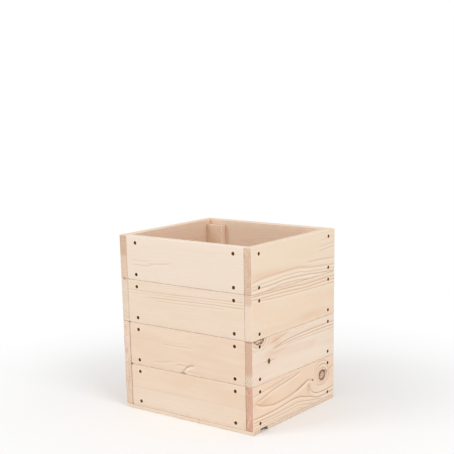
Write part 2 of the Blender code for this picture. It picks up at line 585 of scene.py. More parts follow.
pine = {
    "late": shown(190, 142, 104),  # dark side of a year ring
    "tan": shown(226, 184, 146),
    "pink": shown(229, 188, 162),
    "cream": shown(238, 220, 201),
    "pale": shown(247, 231, 212),
    "rawEdge": shown(250, 237, 220),
    "knotWood": shown(182, 140, 108),
    "knotCore": shown(230, 201, 176),
    "knotRing": shown(104, 68, 44),
    # dirt and painted shade in the joints between boards
    "jointDirtAndShade": shown(180, 124, 84),
    # painted shade on the sawn ends under the board above and along the floor's slot
    "paintedShade": shown(112, 78, 52),
    "knotBark": shown(74, 48, 32),
    "duct": shown(150, 106, 74),
    # painted shade in the screws' countersinks and in the gap at a board's left end
    "hole": shown(126, 88, 56),
    # painted shade where joints meet at a board's corners
    "cornerShade": shown(112, 50, 22),
    "lateWood": (0.58, 0.93, 0.95, 1.0),  # of a year
    "unevenYears": 0.6,
    "secondTone": (0.35, 0.68),
    "secondEndTone": (0.3, 0.7),
    "darkFibre": (0.60, 0.80),
    "darkFibreShare": 0.24,
    "paleFibre": (0.45, 0.20),
    "paleFibreShare": 0.28,
    "ductLine": (0.80, 0.86),
    "ductShare": 0.35,
    "endBlend": 6,  # either side of the step between two tones of a sawn end
    "roughness": 0.57,
    "lateRoughness": -0.10,  # added by the late wood, and by the fibres
    "fibreRoughness": 0.15,
    "specular": 0.3,
    "treeStep": 13.7,  # from one seed's tree to the next
}

pineRelief = {
    "strength": 0.8,
    "depth": 0.12 * mm,
    "late": 0.25,  # how far each stands proud, as a share of the depth
    "fibre": 0.6,
    "pore": 1.2,
    "stroke": 1.0,
    "duct": 0.4,  # how far each lies deep
    "crack": 1.5,
    "bark": 0.8,
}

# noise drawn out along the grain: squeeze along it, width, scale, detail, roughness
streaks = {
    "drift": (0.22, 1.0, 0.020, 1.5, 0.4),
    "ripple": (0.12, 1.0, 0.14, 2.0, 0.5),
    "patches": (0.16, 1.0, 0.055, 2.0, 0.55),
    "fibre": (1 / 26, 0.55, 1.0, 3.0, 0.65),
    "ducts": (1 / 7, 0.32, 1.0, 0.0, 0.5),
}

grainLine = {
    "wander": 2.2,  # how far it follows the ripple
    "fade": 10,  # at its ends
    "fadeShare": 0.2,  # of its length, at most
    "core": 0.4,  # of its width
    "coreShare": 0.55,
    "depth": (9.0, 5.0),
    "earlyPlace": 1.7,  # widths below it
    "earlyShare": 1.1,
}

knotLook = {  # distances in radii from its middle
    "tiny": 5.0,  # mm: one with a smaller radius is dark all over
    "tinyBark": (0.1, 0.8),
    "crowding": (2.8, 1.2),  # the year rings round it
    "crowdShare": 0.5,
    "uneven": 0.5,
    "rim": (1.08, 0.90),
    "shade": (2.1, 1.0),
    "shadeShare": 0.45,
    "halo": (1.05, 1.25, 1.9, 2.7),  # wavy rings round it
    "haloUneven": 0.4,
    "haloRings": 1.55,
    "haloPieces": (0.40, 0.60),
    "haloTones": [  # hue, place in a wave, reach, share
        ("rawEdge", 0.75, 0.30, 0.55),
        ("late", 0.3, 0.22, 0.45),
    ],
    "outerWood": (0.45, 0.9),
    "ringStep": 2.6,  # mm between its own rings
    "ringDark": (0.35, 0.95),  # of a step
    "ringShare": 0.4,
    "blotch": (0.52, 0.62),
    "blotchShare": 0.6,
    "crack": (0.60, 0.66),
    "crackStart": (0.1, 0.5),
    "crackShare": 0.7,
    "bark": (0.66, 0.86, 0.98, 1.16),
    "barkPieces": (0.36, 0.58),
    "barkLeast": 0.1,
}

# scale, detail and roughness; the first two scales are for a radius of 1 mm
knotNoises = {
    "rim": (1.8, 2.0, 0.6),
    "blotches": (3.4, 1.0, 0.6),
    "cracks": (2.6, 1.0, 0.5),
    "bark": (1.1, 0.0, 0.5),
    "halo": (1.3, 1.0, 0.5),
}

sawCut = {
    "facing": (0.55, 0.85),
    "pores": (2.2, 2.0, 0.7),  # scale, detail, roughness
    "darkPore": (0.5, 0.75),
    "poreShare": 0.35,
    "strokes": (1.0, 2.0, 0.6),
    "strokeAcross": 0.10,
    "strokeDeep": 0.9,
    "paleStroke": (0.5, 0.8),
    "strokeShare": 0.4,
}

# rubbed, bruised edges with a painted highlight; dirt and painted shade in joints, countersinks and
# the floor's slot
wearAndShade = {
    "edgeReach": 1.5,  # of the paler, rubbed edges, which also carry a painted highlight
    "edgeUneven": 0.5,
    "edge": (0.5, 1.1),
    "edgeShare": 0.7,
    "dirtAndShadeDepth": (4.0, 0.8),  # below the face
    "joint": (1.5, 0.3),
    "leftEnd": (3.2, 0.3),
    "sawnEnd": (3.2, 0.8),
    # painted shade along the floor's slot
    "paintedShade": (1.2, 0.4),
    "bruise": (7.0, 4.4),  # from a screw's middle
    "bruiseDepth": (1.0, 0.2),
    "bruiseShare": 0.5,
    # painted shade in a screw's countersink
    "hole": (4.2, 3.6),
    "holeShare": 0.6,
}


def knotNoise(place, name, radius=1.0):
    scale, detail, roughness = knotNoises[name]
    return place.noise(scale / radius, detail, roughness)


# distances in mm along the grain, across the face and down from it
def grainPlace(tree, low, high, directions):
    coords = tree.make("ShaderNodeTexCoord", {}, {}, "Object").parts()
    places = []
    for direction in directions:
        index = axisIndex(direction)
        if direction[0] == "+":
            places.append((coords[index] - low[index]) / mm)
        else:
            places.append((high[index] - coords[index]) / mm)
    return places


class PineShader:
    def __init__(self, name, low, high, directions, grain):
        self.material, self.tree = newMaterial(name)
        self.grain = grain
        self.seed = grain["seed"] * pine["treeStep"]
        self.along, self.across, self.deep = grainPlace(self.tree, low, high, directions)
        self.place = self.tree.vector(self.along, self.across, self.deep)
        sizes = [(high - low)[axisIndex(direction)] / mm for direction in directions]
        self.length, self.width, self.thickness = sizes
        self.endAxis = axisIndex(directions[0])

    def paint(self, factor, colour):
        self.tone = self.tree.blend(factor, self.tone, colour)

    def paintSpots(self, spots):  # soft spots on the face
        for centre, reach, amount, hue in spots:
            self.paint(self.near(centre, reach) * amount, pine[hue])

    def streaked(self, name, output=0):
        squeeze, width, scale, detail, roughness = streaks[name]
        across, deep = self.across / width, self.deep / width
        place = self.tree.vector(self.along * squeeze + self.seed, across, deep)
        return place.noise(scale, detail, roughness, output)

    def wayTo(self, centre, size):  # one long on the rim of an ellipse
        along, across = (self.along - centre[0]) / size[0], (self.across - centre[1]) / size[1]
        return self.tree.vector(along, across, 0.0)

    def near(self, centre, reach):  # 1 at the centre, fading out round it
        return self.wayTo(centre, reach).length().fadeOut()

    # the year rings: distance from the heart of the tree, bent by knots and by uneven growth
    def yearRings(self):
        grain = self.grain
        drift = self.streaked("drift", 1).parts()
        ripple = self.streaked("ripple") - 0.5
        bent = self.across + (drift[0] - 0.5) * grain["drift"] + ripple * grain["ripple"]
        bent = bent - (self.along - self.length / 2) * grain["slope"]
        for centre, reach, rise in grain["sways"]:
            bent = bent - self.near(centre, reach) * rise
        heart, below = grain["heart"]
        under = self.along * -grain["taper"] + (below + grain["taper"] * self.length / 2)
        under = under - self.deep + (drift[1] - 0.5) * grain["drift"]
        ring = self.tree.vector(bent - heart, under, 0.0).length()
        crowded = 0.0
        for knot in grain["knots"]:
            away = self.wayTo(knot["centre"], knot["size"]).length()
            ring = ring + (away / knot["reach"]).fadeOut() * knot["swirl"]
            crowding = away.ramp(*knotLook["crowding"]) * knotLook["crowdShare"]
            crowded = crowding * knot["dark"] + crowded
        year = ring / grain["ring"]
        number = {"W": year.whole() + self.seed}
        uneven = self.tree.make("ShaderNodeTexWhiteNoise", {"noise_dimensions": "1D"}, number)
        uneven = uneven * pine["unevenYears"] + (1 - pine["unevenYears"])
        self.rings = year.fraction().between(*pine["lateWood"]) * uneven
        zones = grain["contrast"]
        for centre, reach, amount in grain["zones"]:
            zones = ((bent - centre) / reach).fadeOut() * amount + zones
        self.late = self.rings * (zones + crowded)
        self.drawLines(ripple)

    # strong late rings across the face, each through a few points, with paler early wood below it
    def drawLines(self, ripple):
        self.early = 0.0
        for points, width, depth in self.grain["lines"]:
            away = self.across + ripple * grainLine["wander"] - self.along.curve(points)
            first, last = points[0][0], points[-1][0]
            fade = min(grainLine["fade"], (last - first) * grainLine["fadeShare"])
            ends = self.along.between(first - fade, first + fade, last - fade, last + fade)
            ends = ends * self.deep.ramp(*grainLine["depth"]) * depth
            core = (away / (width * grainLine["core"])).fadeOut() * grainLine["coreShare"]
            core = core + (away / width).fadeOut() * (1 - grainLine["coreShare"])
            self.late = self.late + core * ends
            self.early = (away / width + grainLine["earlyPlace"]).fadeOut() * ends + self.early

    def colour(self):
        patches = self.streaked("patches")
        self.fibre = self.streaked("fibre")
        second = patches.ramp(*pine["secondTone"])
        self.tone = self.tree.blend(second, self.grain["tone"], self.grain["tone2"])
        upper = patches.ramp(*pine["secondEndTone"])
        step = self.grain["endStep"]
        if step:
            upper = self.across.ramp(step - pine["endBlend"], step + pine["endBlend"])
        self.endTone = self.tree.blend(upper, self.grain["endTone"], self.grain["endTone2"])
        self.paintSpots(self.grain["blushes"])
        if self.grain["lines"]:
            self.paint(self.early * grainLine["earlyShare"], pine["pale"])
        self.paint(self.late, pine["late"])
        self.paint(self.fibre.ramp(*pine["darkFibre"]) * pine["darkFibreShare"], pine["late"])
        self.paint(self.fibre.ramp(*pine["paleFibre"]) * pine["paleFibreShare"], pine["pale"])
        ducts = self.streaked("ducts").ramp(*pine["ductLine"])
        self.paint(ducts * pine["ductShare"], pine["duct"])
        self.height = self.late * pineRelief["late"] + self.fibre * pineRelief["fibre"]
        self.height = self.height - ducts * pineRelief["duct"]

    # a bark ring round darker wood with its own rings, blotches and star cracks
    def addKnot(self, knot):
        radius, dark = knot["size"][0], knot["dark"]
        way = self.wayTo(knot["centre"], knot["size"])
        far, bearing = way.length(), way.direction()
        rough = knotNoise(self.place, "rim", radius)
        rim = far + (rough - 0.5) * knotLook["uneven"]
        inside = rim.ramp(*knotLook["rim"])
        self.paint(far.ramp(*knotLook["shade"]) * knotLook["shadeShare"] * dark, pine["tan"])
        if radius < knotLook["tiny"]:
            outer = rim.ramp(*knotLook["tinyBark"])
            wood = self.tree.blend(outer, pine["knotRing"], pine["knotBark"])
            barkTone = pine["knotBark"]
        else:
            self.addHalo(far, bearing, rough, dark)
            outer = rim.ramp(*knotLook["outerWood"])
            wood = self.tree.blend(outer, pine["knotCore"], pine["knotWood"])
            rings = (rim * (radius / knotLook["ringStep"])).fraction().ramp(*knotLook["ringDark"])
            wood = self.tree.blend(rings * knotLook["ringShare"], wood, pine["knotRing"])
            place = self.tree.vector(self.along + self.seed, self.across, self.deep)
            blotches = knotNoise(place, "blotches", radius).ramp(*knotLook["blotch"])
            wood = self.tree.blend(blotches * knotLook["blotchShare"], wood, pine["knotRing"])
            barkTone = pine["knotRing"]
        cracks = knotNoise(bearing, "cracks").ramp(*knotLook["crack"])
        cracks = cracks * rim.ramp(*knotLook["crackStart"])
        wood = self.tree.blend(cracks * knotLook["crackShare"], wood, pine["knotBark"])
        self.paint(inside * dark, wood)
        bark = rim.between(*knotLook["bark"])
        patchy = ((rough + knotNoise(bearing, "bark")) / 2).ramp(*knotLook["barkPieces"])
        patchy = patchy * (1 - knotLook["barkLeast"]) + knotLook["barkLeast"]
        self.paint(bark * patchy * dark, barkTone)
        hollow = cracks * inside * pineRelief["crack"] + bark * pineRelief["bark"]
        self.height = self.height - hollow * dark

    def addHalo(self, far, bearing, rough, dark):  # broken in places
        waves = ((far + (rough - 0.5) * knotLook["haloUneven"]) * knotLook["haloRings"]).fraction()
        pieces = knotNoise(bearing, "halo").ramp(*knotLook["haloPieces"])
        halo = pieces * far.between(*knotLook["halo"]) * dark
        for hue, place, reach, share in knotLook["haloTones"]:
            self.paint(((waves - place) / reach).fadeOut() * halo * share, pine[hue])

    def sawEnds(self):  # with open pores and the strokes of the saw
        facing = self.tree.make("ShaderNodeTexCoord", {}, {}, "Normal").parts()[self.endAxis]
        self.end = abs(facing).ramp(*sawCut["facing"])
        self.pores = self.place.noise(*sawCut["pores"])
        across = self.across * sawCut["strokeAcross"] + self.seed
        deep = self.deep * sawCut["strokeDeep"]
        strokes = self.tree.vector(self.along, across, deep).noise(*sawCut["strokes"])
        sawn = self.tree.blend(self.rings * self.grain["endRings"], self.endTone, pine["late"])
        darkPores = self.pores.ramp(*sawCut["darkPore"]) * sawCut["poreShare"]
        sawn = self.tree.blend(darkPores, sawn, pine["duct"])
        paleStrokes = strokes.ramp(*sawCut["paleStroke"]) * sawCut["strokeShare"]
        sawn = self.tree.blend(paleStrokes, sawn, pine["pale"])
        self.paint(self.end, sawn)
        sawnHeight = self.pores * pineRelief["pore"] + strokes * pineRelief["stroke"]
        self.height = self.height * (1 - self.end) + sawnHeight * self.end

    def rubAndHighlightEdges(self):
        # paler arrises: rubbed wear, with a painted highlight along them
        spans = ((self.along, self.length), (self.across, self.width), (self.deep, self.thickness))
        nearEnd, nearSide, nearFace = [
            (abs(distance - extent / 2) - (extent / 2 - wearAndShade["edgeReach"])).atLeast(0.0)
            for distance, extent in spans
        ]
        edge = nearEnd * nearSide + nearSide * nearFace + nearFace * nearEnd
        edge = edge + (self.pores - 0.5) * wearAndShade["edgeUneven"]
        rubbedAndHighlit = edge.ramp(*wearAndShade["edge"]) * (1 - self.end)
        self.paint(rubbedAndHighlit * wearAndShade["edgeShare"], pine["rawEdge"])

    def shadeAndSoilJoints(self):
        # painted shade and dirt in the joints; painted shade at the left end, on the sawn ends
        # under the board above and along the floor's slot
        grain = self.grain
        dirtAndShade = self.deep.ramp(*wearAndShade["dirtAndShadeDepth"])
        above = self.width - self.across
        for edge, distance in (("dirtAndShadeBelow", self.across), ("dirtAndShadeAbove", above)):
            if grain[edge]:
                self.paint(distance.ramp(*wearAndShade["joint"]) * dirtAndShade * grain[edge], pine["jointDirtAndShade"])
        # painted shadow in the gap at the board's left end
        if grain["leftEndShade"]:
            self.paint(self.along.ramp(*wearAndShade["leftEnd"]) * dirtAndShade * grain["leftEndShade"], pine["hole"])
        if grain["endShade"]:
            self.paint(above.ramp(*wearAndShade["sawnEnd"]) * self.end * grain["endShade"], pine["paintedShade"])
        for edge, distance in (("shadeBelow", self.across), ("shadeAbove", above)):
            if grain[edge]:
                self.paint(distance.ramp(*wearAndShade["paintedShade"]) * grain[edge], pine["paintedShade"])

    def markEnds(self):  # small marks on the sawn ends: grain, and painted shade at the joints
        for centre, reach, amount, hue in self.grain["endMarks"]:
            across, deep = (self.across - centre[0]) / reach[0], (self.deep - centre[1]) / reach[1]
            away = self.tree.vector(across, deep, 0.0).length()
            self.paint(away.fadeOut() * self.end * amount, pine[hue])

    def bruiseAndShadeRound(self, across):  # bruised fibres round a pair of screws, and painted shade in their countersinks
        toScrew = abs(self.along - self.length / 2) - (self.length / 2 - wallScrew["inset"] / mm)
        toScrew = self.tree.vector(toScrew, self.across - across, 0.0).length()
        bruise = toScrew.ramp(*wearAndShade["bruise"]) * self.deep.ramp(*wearAndShade["bruiseDepth"])
        self.paint(bruise * wearAndShade["bruiseShare"], pine["rawEdge"])
        self.paint(toScrew.ramp(*wearAndShade["hole"]) * wearAndShade["holeShare"], pine["hole"])

    def finish(self):
        roughness = self.late * pine["lateRoughness"] + self.fibre * pine["fibreRoughness"]
        roughness = roughness + pine["roughness"]
        strength, depth = pineRelief["strength"], pineRelief["depth"]
        relief = {"Strength": strength, "Distance": depth, "Height": self.height}
        bump = self.tree.make("ShaderNodeBump", {}, relief)
        outputTo(self.tree, self.tree.make("ShaderNodeBsdfPrincipled", {}, {
            "Base Color": self.tone, "Roughness": roughness, "Specular IOR Level": pine["specular"],
            "Normal": bump}))
        return self.material


def pineMaterial(name, low, high, directions, grain):
    shader = PineShader(name, low, high, directions, grain)
    shader.yearRings()
    shader.colour()
    for knot in grain["knots"]:
        shader.addKnot(knot)
    shader.sawEnds()
    shader.rubAndHighlightEdges()
    shader.shadeAndSoilJoints()
    # marks: knot marks, and painted shade where joints meet at a board's corners
    shader.paintSpots(grain["marks"])
    shader.markEnds()
    for across in grain["screws"]:
        shader.bruiseAndShadeRound(across)
    return shader.finish()


steel = {
    "dark": shown(92, 50, 12),
    "brown": shown(128, 76, 24),
    "worn": shown(170, 112, 50),
    "patches": (260.0, 2.0, 0.5),  # scale, detail, roughness
    "brownPatch": (0.35, 0.7),
    "rubbing": (900.0, 3.0, 0.6),
    "wornSpot": (0.58, 0.72),
    "wornShare": 0.5,
    "wornRoughness": 0.25,
    "roughness": 0.42,
    "metallic": 0.2,
    "specular": 0.1,
    "reliefStrength": 0.5,
    "reliefDepth": 0.05 * mm,
}


def screwSteelMaterial():
    material, tree = newMaterial("screwSteel")
    place = tree.make("ShaderNodeTexCoord", {}, {}, "Object")
    brown = place.noise(*steel["patches"]).ramp(*steel["brownPatch"])
    rubbing = place.noise(*steel["rubbing"])
    worn = rubbing.ramp(*steel["wornSpot"]) * steel["wornShare"]
    tone = tree.blend(brown, steel["dark"], steel["brown"])
    tone = tree.blend(worn, tone, steel["worn"])
    roughness = rubbing * steel["wornRoughness"] + steel["roughness"]
    strength, depth = steel["reliefStrength"], steel["reliefDepth"]
    relief = {"Strength": strength, "Distance": depth, "Height": rubbing}
    shader = tree.make("ShaderNodeBsdfPrincipled", {}, {
        "Base Color": tone, "Metallic": steel["metallic"], "Roughness": roughness,
        "Specular IOR Level": steel["specular"], "Normal": tree.make("ShaderNodeBump", {}, relief)})
    outputTo(tree, shader)
    return material


# how each board was cut from its tree; places in mm from its left end and its lower edge
# sways: (centre), (reach), rise; zones: height, reach, amount; lines: (places), width, darkness
# blushes and marks: (centre), (reach), amount, hue
# endMarks: the same, at (height, depth) on the sawn ends

# one line repeated at other heights, each with its own darkness
def nested(points, width, shifts):
    return [
        ([(along, across + shift) for along, across in points], width, depth)
        for shift, depth in shifts
    ]


plainGrain = {
    "endTone": shown(219, 186, 162),
    "endTone2": shown(229, 201, 176),
    "endStep": 0.0,  # where the sawn end turns from the first tone to the second, or patchy
    "endRings": 0.8,
    "taper": 0.0,
    "slope": 0.0,
    "contrast": 0.05,
    "drift": 3.0,
    "ripple": 1.2,
    "sways": [],
    "zones": [],
    "lines": [],
    "knots": [],
    "blushes": [],
    "marks": [],
    "endMarks": [],
    "screws": (wallScrew["low"] / mm, wallScrew["high"] / mm),
    "dirtAndShadeBelow": 0.15,  # dirt and painted shade in the joints along the lower and the upper edge, and painted shade at the left end
    "dirtAndShadeAbove": 0.15,
    "leftEndShade": 0.0,
    "endShade": 0.0,  # painted shade on the sawn ends, under the board above
    "shadeBelow": 0.0,  # painted shade on edges along the floor's slot
    "shadeAbove": 0.0,
}

# heart: height and depth of the tree's heart; ring: width of a year
boardGrain = {
    "front_board_4": {
        "tone": shown(239, 221, 204), "tone2": shown(240, 222, 205), "heart": (88, 30), "ring": 5.5,
        "slope": 0.02, "drift": 4.0, "leftEndShade": 0.1,
        "marks": [((4, 0.3), (5, 1.2), 0.6, "jointDirtAndShade")],
        "lines": [
            ([(14, 44), (40, 43.5), (66, 45)], 1.8, 0.25),
            ([(16, 34.5), (45, 34), (70, 36)], 1.8, 0.3),
            ([(61, 38), (95, 41), (125, 45)], 2.0, 0.3),
        ],
    },
    "front_board_3": {
        "tone": shown(236, 215, 192), "tone2": shown(239, 218, 199), "heart": (14, 30), "ring": 4.2,
        "slope": 0.03, "contrast": 0.06, "drift": 4.0, "zones": [(90, 6, 0.2)], "leftEndShade": 0.1,
        "marks": [((0.5, 0.5), (3.0, 1.6), 0.9, "cornerShade")],
        "lines": [
            ([(0, 74.5), (60, 73), (120, 74), (314, 79)], 1.5, 0.42),
            ([(0, 68), (60, 68), (120, 69.5), (314, 73)], 1.3, 0.3),
            ([(62, 61), (120, 62.5), (200, 65), (314, 66)], 1.5, 0.42),
            ([(84, 55.5), (150, 57), (260, 60)], 1.3, 0.3),
        ],
    },
    "front_board_2": {
        "tone": shown(236, 209, 185), "tone2": shown(238, 214, 192), "heart": (80, 28), "ring": 5.4,
        "slope": 0.02, "contrast": 0.06, "drift": 4.0, "leftEndShade": 0.6,
        "marks": [((0.5, 94.5), (3.0, 1.4), 0.9, "cornerShade"), ((2, 0.5), (4, 1.8), 0.9, "cornerShade")],
        "lines": [
            ([(95, 58), (140, 59), (178, 60)], 1.5, 0.35),
            ([(70, 15), (95, 18), (121, 23)], 1.8, 0.35),
            ([(132, 16), (148, 19), (164, 17)], 1.8, 0.45),
            ([(146, 2), (152, 8), (158, 14), (167, 20), (180, 23)], 3.0, 0.75),
            ([(166, 9), (180, 7), (198, 9)], 1.6, 0.3),
        ],
        "knots": [{"centre": (151, -2), "size": (7, 5.5), "reach": 1.7, "swirl": 7, "dark": 0.6}],
    },
    "front_board_1": {
        "tone": shown(236, 209, 184), "tone2": shown(238, 214, 192), "heart": (60, 45), "ring": 6.0,
        "contrast": 0.06, "drift": 4.0, "zones": [(42, 6, 0.1)], "leftEndShade": 0.65,
        "marks": [((2, 94.5), (4, 1.6), 0.9, "cornerShade"), ((0.5, 0.3), (3, 1.8), 0.9, "cornerShade")],
        "blushes": [((130, 20), (170, 32), 0.95, "cream")],
    },
    "right_board_4": {
        "tone": shown(236, 215, 190), "tone2": shown(238, 217, 195), "heart": (78, 30), "ring": 4.8,
        "sways": [((135, 20), (110, 60), 7)],
        "lines": [
            ([(0, 25), (40, 29), (80, 30.8), (120, 31.5), (160, 31), (200, 26.5), (240, 22.2),
              (314, 17)], 3.2, 0.36),
            ([(0, 15), (40, 18), (80, 19.5), (120, 21.4), (160, 21), (200, 16.7), (240, 13.7),
              (314, 9)], 2.0, 0.4),
            ([(0, 10), (40, 10.8), (80, 11.4), (120, 13.5), (160, 12.8), (200, 11), (240, 7.5),
              (314, 2)], 2.5, 0.55),
            ([(0, -2), (40, 0), (80, 3), (120, 5.4), (160, 5), (200, 0.5), (240, -3)], 2.2, 0.5),
            ([(205, 37), (242, 36), (280, 34), (314, 31)], 2.6, 0.32),
            *nested([(250, 54), (285, 56), (314, 58)], 1.5, [(0, 0.35), (8.5, 0.3), (22, 0.25)]),
        ],
        "blushes": [
            ((40, 35), (70, 7), 0.45, "tan"),
            ((150, 30), (70, 7), 0.3, "tan"),
            ((170, 12), (180, 20), 0.35, "pale"),
        ],
    },
    "right_board_3": {
        "tone": shown(238, 216, 192), "tone2": shown(238, 212, 186), "heart": (10, 26), "ring": 4.4,
        "slope": -0.03,
        "endTone": shown(241, 219, 199), "endTone2": shown(226, 197, 175),
        "endStep": 74, "endRings": 0.25,
        "lines": [
            ([(0, 92), (80, 90.6), (120, 89.8), (160, 88.6), (200, 86.2), (240, 86.6), (314, 86)],
             2.1, 0.6),
            ([(0, 86), (40, 84.6), (80, 84.1), (120, 82.6), (160, 80.7), (200, 79.2), (240, 79.8),
              (314, 79.5)], 2.1, 0.55),
            ([(20, 81), (40, 79.9), (80, 77.1), (120, 76.1), (160, 74.4), (200, 73.2), (240, 72.8),
              (314, 71)], 2.1, 0.42),
        ],
        "blushes": [((210, 14), (60, 9), 0.35, "tan")],
    },
    "right_board_2": {
        "tone": shown(238, 220, 201), "tone2": shown(236, 212, 192), "heart": (36, 50), "ring": 5.0,
        "sways": [((230, 75), (110, 25), 8)],
        "endTone": shown(230, 211, 190), "endTone2": shown(218, 182, 157), "endStep": 24,
        "lines": [
            ([(76, 67.5), (100, 71), (122, 74.4), (140, 76), (180, 77.3), (229, 78.3), (260, 78.5),
              (314, 77.5)], 2.0, 0.7),
            ([(78, 64), (100, 66.7), (140, 69.8), (180, 70.6), (220, 71.2), (260, 71.2), (314, 70)],
             2.0, 0.6),
            ([(120, 63.5), (180, 64.9), (220, 64.3), (260, 64.2), (314, 63)], 1.7, 0.42),
            ([(64, 78), (84, 82), (100, 85), (124, 90)], 1.6, 0.4),
            ([(40, 43), (52, 43.5), (58, 43.5), (66, 43), (82, 43)], 1.3, 0.6),
        ],
        "blushes": [
            ((82, 82), (17, 8), 0.75, "tan"),
            ((106, 88), (20, 6), 0.55, "tan"),
            ((80, 58), (45, 9), 0.5, "pink"),
            ((190, 14), (150, 20), 0.4, "pale"),
        ],
        # painted shade on the sawn end under the board above
        "endShade": 0.7,
        "marks": [
            ((17, 90.7), (4.5, 2.2), 0.7, "cream"),
            ((26, 92), (2.2, 1.6), 0.7, "cream"),
            ((27, 95), (16, 1.3), 0.75, "knotRing"),
            ((7, 93.3), (2.8, 1.8), 0.8, "knotBark"),
        ],
        "knots": [
            {"centre": (25, 98), "size": (17.5, 13), "reach": 2.0, "swirl": 18, "dark": 0.9},
            {"centre": (58.5, 43.3), "size": (3.8, 5.4), "reach": 2.2, "swirl": 5, "dark": 1.0},
        ],
    },
    "right_board_1": {
        "tone": shown(240, 213, 188), "tone2": shown(239, 210, 184), "heart": (61, 58), "ring": 4.6,
        "taper": 0.05, "contrast": 0.04,
        "endTone": shown(214, 164, 142), "endTone2": shown(222, 178, 156),
        "lines": [
            ([(0, 75), (60, 81), (120, 89.5)], 1.6, 0.6),
            ([(60, 77), (100, 83), (152, 90)], 1.5, 0.45),
            ([(20, 62), (40, 66), (58, 70), (80, 74.5), (110, 78), (140, 82), (175, 88)], 2.4, 0.6),
            ([(12, 58), (30, 50), (60, 43.5), (80, 40.5), (105, 41.5), (150, 46.5), (170, 50.5),
              (205, 61)], 3.0, 0.6),
            ([(0, 26.5), (70, 26.5), (100, 28), (150, 32), (168, 31.5), (190, 27), (220, 19.5),
              (250, 11.5), (280, 10.5), (314, 13)], 1.9, 0.85),
            ([(0, 18), (40, 17.7), (80, 17.4), (120, 19), (160, 20.5), (180, 18.5), (205, 13.5),
              (235, 8.5), (262, 4)], 1.9, 0.5),
            ([(0, 11.4), (80, 11.4), (120, 11.3), (160, 13), (180, 11), (200, 7), (225, 3)],
             1.9, 0.42),
            ([(0, 4), (80, 5), (120, 3.4), (160, 6.5), (178, 4.5), (195, 0)], 1.6, 0.3),
            ([(160, 48.5), (185, 54.5), (205, 61)], 3.4, 0.4),
            ([(211, 46), (214, 40), (220, 33), (228, 27), (238, 23), (255, 20.5), (280, 20),
              (314, 22)], 2.0, 0.85),
            ([(205, 60), (214, 59), (226, 56)], 2.2, 0.5),
            *nested([(234, 66), (243, 78), (262, 84), (280, 80), (290, 70)], 2.0,
                    [(0, 0.55), (7.5, 0.5)]),
            ([(244, 42), (254, 37.5), (266, 36), (280, 39), (290, 46)], 2.0, 0.5),
            ([(284, 60), (296, 66), (314, 70)], 2.0, 0.6),
        ],
        "marks": [
            ((277, 65.5), (4.0, 2.0), 0.75, "knotRing"),
            ((283, 61), (2.5, 2.4), 0.65, "knotRing"),
        ],
        "endMarks": [
            ((92, 15), (4, 2.5), 0.5, "duct"),
            ((84, 10), (7, 1.5), 0.5, "knotWood"),
            ((15, 16.5), (16, 1.5), 0.5, "duct"),
            ((10, 13.5), (4, 1.2), 0.5, "pale"),
            ((20, 10.5), (5, 1.2), 0.5, "pale"),
            ((30, 7.5), (4, 1.2), 0.5, "pale"),
        ],
        "blushes": [
            ((32, 56), (30, 8), 0.6, "tan"),
            ((150, 8), (150, 14), 0.4, "pale"),
            ((270, 26), (38, 38), 0.5, "pale"),
            ((210, 43), (6, 10), 0.5, "late"),
            ((292, 62), (10, 16), 0.4, "tan"),
        ],
        "knots": [
            {"centre": (264.3, 57.8), "size": (12.8, 12), "reach": 2.0, "swirl": 20, "dark": 0.97},
            {"centre": (225, 55.8), "size": (2.6, 2.0), "reach": 3.0, "swirl": 3, "dark": 0.8},
        ],
    },
}

for order, grain in enumerate(boardGrain.values()):
    grain["seed"] = order + 1

# hidden boards of which only the sawn ends are seen
sawnEnds = {
    "left_board_4": {
        "endTone": shown(232, 206, 182), "endTone2": shown(216, 184, 158), "endStep": 51,
        "endMarks": [
            ((60, 0.8), (40, 1.5), 0.35, "knotWood"),
            ((0.4, 9.5), (1.8, 2.8), 0.9, "cornerShade"),
        ],
    },
    "left_board_3": {
        "endTone": shown(235, 216, 197), "endTone2": shown(239, 221, 204),
        "endMarks": [((94.6, 9.5), (1.8, 2.8), 0.9, "cornerShade")],
    },
    "left_board_2": {
        "endTone": shown(238, 212, 192), "endTone2": shown(243, 222, 206),
        "endMarks": [
            ((50, 1.5), (9, 2.0), 0.5, "knotWood"),
            ((27, 7), (9, 4), 0.4, "knotWood"),
        ],
    },
    "left_board_1": {
        "endTone": shown(233, 206, 183), "endTone2": shown(237, 213, 192),
        "endMarks": [
            ((64, 11.5), (20, 1.8), 0.35, "knotWood"),
            ((66, 1.2), (16, 1.5), 0.4, "duct"),
        ],
    },
}


def randomGrain(seed, width):  # for a board that the front view doesn't show
    draw = random.Random(seed)
    warm = draw.uniform(0, 10)
    grain = {
        "drift": 9.0,
        "tone": shown(239 - warm * 0.3, 218 - warm, 197 - warm * 1.3),
        "tone2": shown(240, 214 - warm * 0.4, 190 - warm * 0.5),
        "heart": (draw.uniform(-0.2, 1.2) * width, draw.uniform(24, 48)),
        "taper": draw.uniform(-0.05, 0.05),
        "slope": draw.uniform(-0.03, 0.03),
        "ring": draw.uniform(3.6, 6.4),
        "contrast": draw.uniform(0.08, 0.3),
        "zones": [(draw.uniform(0, 1) * width, draw.uniform(8, 18), draw.uniform(0.2, 0.5))],
        "seed": seed,
    }
    if draw.random() < 0.55:
        radius = draw.uniform(2.5, 10)
        grain["knots"] = [{
            "centre": (draw.uniform(40, 270), draw.uniform(0.15, 0.85) * width),
            "size": (radius * 1.15, radius), "reach": 2.4, "swirl": radius * 1.4,
            "dark": draw.uniform(0.6, 0.95),
        }]
    return grain


unscrewed = {"screws": (), "dirtAndShadeBelow": 0.0, "dirtAndShadeAbove": 0.0}
floorTones = {
    "tone": shown(238, 219, 199), "endTone": shown(234, 212, 191), "endTone2": shown(238, 218, 198),
}
